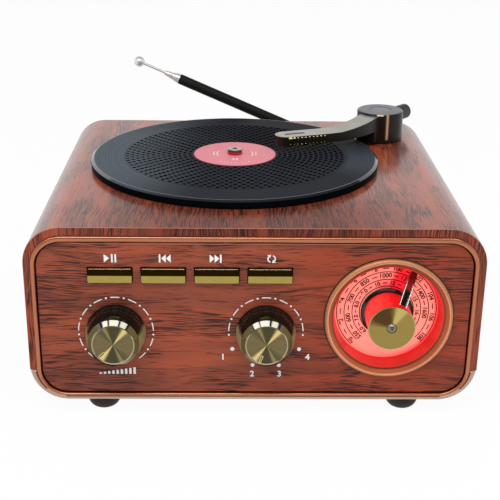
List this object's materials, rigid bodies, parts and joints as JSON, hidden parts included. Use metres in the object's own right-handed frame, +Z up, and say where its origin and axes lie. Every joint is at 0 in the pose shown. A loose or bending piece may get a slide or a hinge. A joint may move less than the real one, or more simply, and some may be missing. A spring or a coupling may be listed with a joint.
{
  "type": "record player radio",
  "caption": "Small rosewood tabletop radio shaped like a record player, with a perforated record over its loudspeaker, a tonearm, knobs, keys, a lit tuning dial and a telescopic antenna.",
  "frame": {"origin": "on the floor plane, under the middle of the whole object's outline", "axes": "+X to the right as seen from the front, the front faces -Y, +Z up"},
  "size_m": [0.19, 0.1932, 0.1189],
  "materials": {
    "rosewood": "satin lacquer over dark-streaked veneer",
    "softwood": "bare",
    "bronze": "metallic bronze lacquer",
    "copper": "metallic copper plating",
    "gold": "spun and polished, champagne gold",
    "dark_chrome": "dark bronze chrome",
    "chrome": "mirror",
    "black_gloss": "gloss",
    "black_plastic": "fine grain",
    "black_lacquer": "semi-gloss",
    "label": "printed",
    "red_plastic": "translucent, lit from behind",
    "dial_print": "printed scale, lit from behind",
    "violet": "gloss",
    "steel": "bright",
    "brass": "turned",
    "rubber": "moulded",
    "magnet": "sintered",
    "cone_paper": "pressed",
    "foil": "shrink sleeve over the cell",
    "board": "solder mask"
  },
  "bodies": {
    "cabinet": {"cabinet_cover": "rosewood", "front_panel": "rosewood", "cleats": "softwood", "bottom_tray": "bronze", "front_frame": "copper", "dial_bezel": "copper", "back_panel": "black_plastic", "back_screws": "steel", "feet": "rubber", "foot_screws": "steel", "dial_well": "red_plastic", "dial_plate": "dial_print", "dial_lamps": "red_plastic", "tuning_control": "black_plastic", "volume_pot": "steel", "band_switch": "steel", "shaft_nuts": "steel", "button_board": "board", "tact_switches": "black_plastic", "spindle_bridge": "black_plastic", "spindle_bush": "brass", "disc_motor": "steel", "speaker_frame": "black_lacquer", "speaker_magnet": "magnet", "speaker_surround": "rubber", "speaker_screws": "steel", "tonearm_bush": "brass", "antenna_bracket": "black_plastic", "main_board": "board", "usb_socket": "steel", "charge_socket": "steel", "battery": "foil", "ferrite_rod": "magnet"},
    "cone": {"speaker_cone": "cone_paper"},
    "record": {"record_disc": "black_gloss", "record_label": "label", "spindle": "chrome"},
    "tonearm": {"tonearm": "dark_chrome", "stylus": "steel", "tonearm_inlay": "violet", "counterweight": "dark_chrome", "tonearm_shaft": "steel"},
    "volume": {"volume_knob": "gold", "volume_shaft": "steel"},
    "band": {"band_knob": "gold", "band_shaft": "steel"},
    "tuning": {"tuning_knob": "gold", "tuning_shaft": "steel", "tuning_screw": "chrome", "tuning_pointer": "chrome"},
    "play": {"play_button": "gold"},
    "back": {"back_button": "gold"},
    "next": {"next_button": "gold"},
    "source": {"source_button": "gold"},
    "antenna_base": {"antenna_hub": "chrome", "antenna_pin": "steel"},
    "mast": {"antenna_mast": "black_lacquer"},
    "section_1": {"antenna_section_1": "chrome"},
    "section_2": {"antenna_section_2": "chrome"},
    "section_3": {"antenna_section_3": "chrome"}
  },
  "joints": [
    {"name": "record_spin", "type": "hinge", "parent": "cabinet", "child": "record", "pos_m": [-0.0084, 0.00645, 0.0855], "axis": [0, 0, -1], "continuous": true},
    {"name": "tonearm_swing", "type": "hinge", "parent": "cabinet", "child": "tonearm", "pos_m": [0.0667, 0.05085, 0.0855], "axis": [0, 0, 1], "range_deg": [-8, 52]},
    {"name": "volume_turn", "type": "hinge", "parent": "cabinet", "child": "volume", "pos_m": [-0.058, -0.08405, 0.039], "axis": [0, 1, 0], "range_deg": [-10, 290]},
    {"name": "band_turn", "type": "hinge", "parent": "cabinet", "child": "band", "pos_m": [0.0047, -0.08405, 0.039], "axis": [0, 1, 0], "range_deg": [-80, 40]},
    {"name": "tuning_turn", "type": "hinge", "parent": "cabinet", "child": "tuning", "pos_m": [0.056, -0.08405, 0.0453], "axis": [0, 1, 0], "range_deg": [-164.5, 100.5]},
    {"name": "play_press", "type": "slide", "parent": "cabinet", "child": "play", "axis": [0, 1, 0], "range_m": [0, 0.0008], "stiffness_N_per_m": 400},
    {"name": "back_press", "type": "slide", "parent": "cabinet", "child": "back", "axis": [0, 1, 0], "range_m": [0, 0.0008], "stiffness_N_per_m": 400},
    {"name": "next_press", "type": "slide", "parent": "cabinet", "child": "next", "axis": [0, 1, 0], "range_m": [0, 0.0008], "stiffness_N_per_m": 400},
    {"name": "source_press", "type": "slide", "parent": "cabinet", "child": "source", "axis": [0, 1, 0], "range_m": [0, 0.0008], "stiffness_N_per_m": 400},
    {"name": "cone_travel", "type": "slide", "parent": "cabinet", "child": "cone", "axis": [0, 0, 1], "range_m": [-0.001, 0.001], "stiffness_N_per_m": 1500, "deforming": ["speaker_surround"]},
    {"name": "antenna_swivel", "type": "hinge", "parent": "cabinet", "child": "antenna_base", "pos_m": [0.075, 0.09255, 0.0574], "axis": [0, 1, 0], "range_deg": [-23.4, 150]},
    {"name": "antenna_fold", "type": "hinge", "parent": "antenna_base", "child": "mast", "pos_m": [0.075, 0.09255, 0.0574], "axis": [-0.3971, 0, -0.9178], "range_deg": [0, 90]},
    {"name": "section_1_slide", "type": "slide", "parent": "mast", "child": "section_1", "axis": [-0.9178, 0, 0.3971], "range_m": [0, 0.09]},
    {"name": "section_2_slide", "type": "slide", "parent": "section_1", "child": "section_2", "axis": [-0.9178, 0, 0.3971], "range_m": [0, 0.085]},
    {"name": "section_3_slide", "type": "slide", "parent": "section_2", "child": "section_3", "axis": [-0.9178, 0, 0.3971], "range_m": [-0.01, 0.08]}
  ]
}
